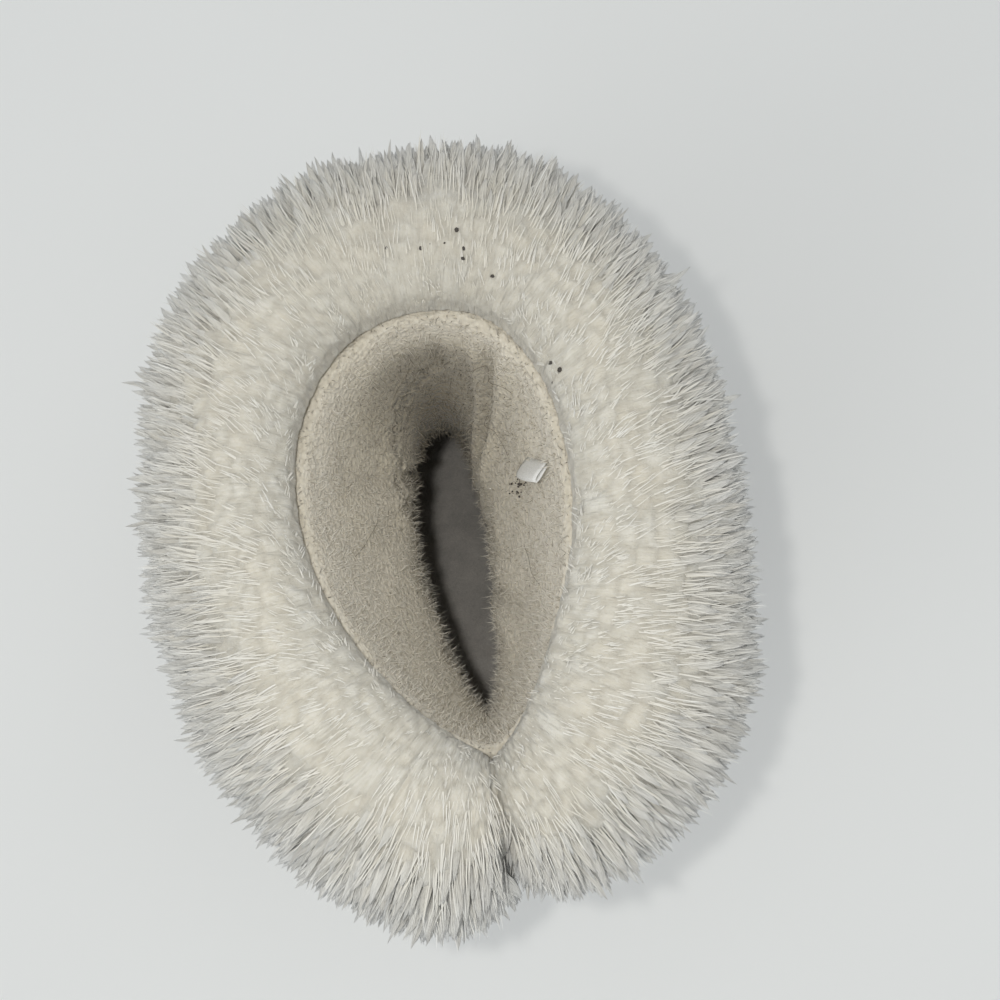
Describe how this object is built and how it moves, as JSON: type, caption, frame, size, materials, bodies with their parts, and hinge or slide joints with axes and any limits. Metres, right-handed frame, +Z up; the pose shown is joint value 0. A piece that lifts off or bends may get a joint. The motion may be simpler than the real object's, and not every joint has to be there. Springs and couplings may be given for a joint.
{
  "type": "winter boot",
  "caption": "Left pull-on winter boot with a lugged rubber sole, suede upper, felt insole and a wide turned-down fur cuff that opens at the back.",
  "frame": {"origin": "On the floor, on the heel's flat tread, 46 mm in front of the back of the sole.", "axes": "The toe points along -Y and the heel along +Y, up is +Z, and the inner side of this left foot is -X."},
  "size_m": [0.2256, 0.3302, 0.306],
  "materials": {
    "outsole_rubber": "matte moulded rubber",
    "midsole_rubber": "matte rubber with a light grain",
    "insole_felt": "grey felt",
    "upper_suede": "brushed suede nap",
    "counter_suede": "brushed suede nap, a shade darker",
    "cuff_fur": "long silvery fur and short sherpa pile"
  },
  "bodies": {
    "root": {"outsole": "outsole_rubber", "midsole": "midsole_rubber", "insole": "insole_felt", "upper": "upper_suede", "heel_counter": "counter_suede", "cuff": "cuff_fur"}
  },
  "joints": []
}
